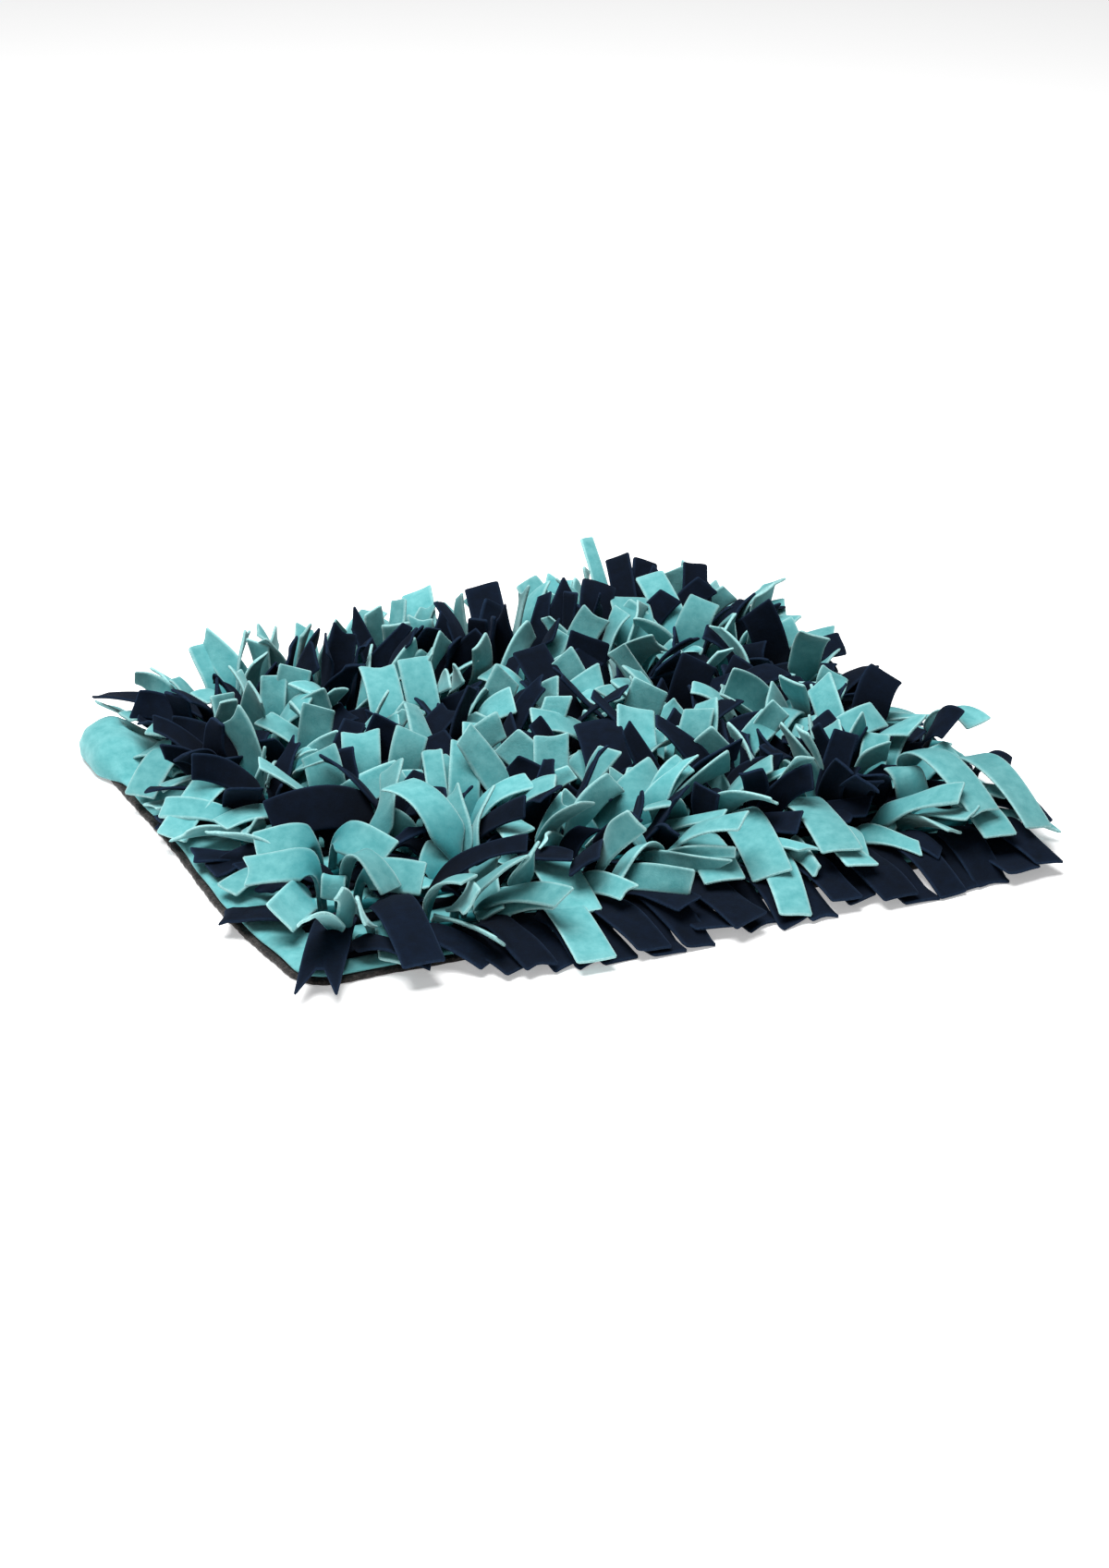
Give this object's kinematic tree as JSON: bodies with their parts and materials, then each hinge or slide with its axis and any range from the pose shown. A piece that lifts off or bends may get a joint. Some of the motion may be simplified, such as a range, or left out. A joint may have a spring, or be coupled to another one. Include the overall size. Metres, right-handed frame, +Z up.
{
  "type": "snuffle mat",
  "caption": "Snuffle mat: a fleece-faced non-slip mat covered in a shaggy pile of mint and navy fleece strips, for hiding dry treats.",
  "frame": {"origin": "middle of the backing's underside, where the mat rests on the floor", "axes": "+X along the mat's long side, +Y from its front edge to its back edge, +Z up through the pile"},
  "size_m": [0.4823, 0.4296, 0.0727],
  "materials": {
    "backing": "matte black non-slip fabric",
    "mint_fleece": "matte brushed polyester fleece, mint",
    "navy_fleece": "matte brushed polyester fleece, navy"
  },
  "bodies": {
    "root": {"backing": "backing", "face_cloth": "mint_fleece", "mint_row_1": "mint_fleece", "mint_row_2": "mint_fleece", "mint_row_3": "mint_fleece", "mint_row_4": "mint_fleece", "mint_row_5": "mint_fleece", "mint_row_6": "mint_fleece", "mint_row_7": "mint_fleece", "navy_row_1": "navy_fleece", "navy_row_2": "navy_fleece", "navy_row_3": "navy_fleece", "navy_row_4": "navy_fleece", "navy_row_5": "navy_fleece", "navy_row_6": "navy_fleece", "navy_row_7": "navy_fleece"}
  },
  "joints": []
}
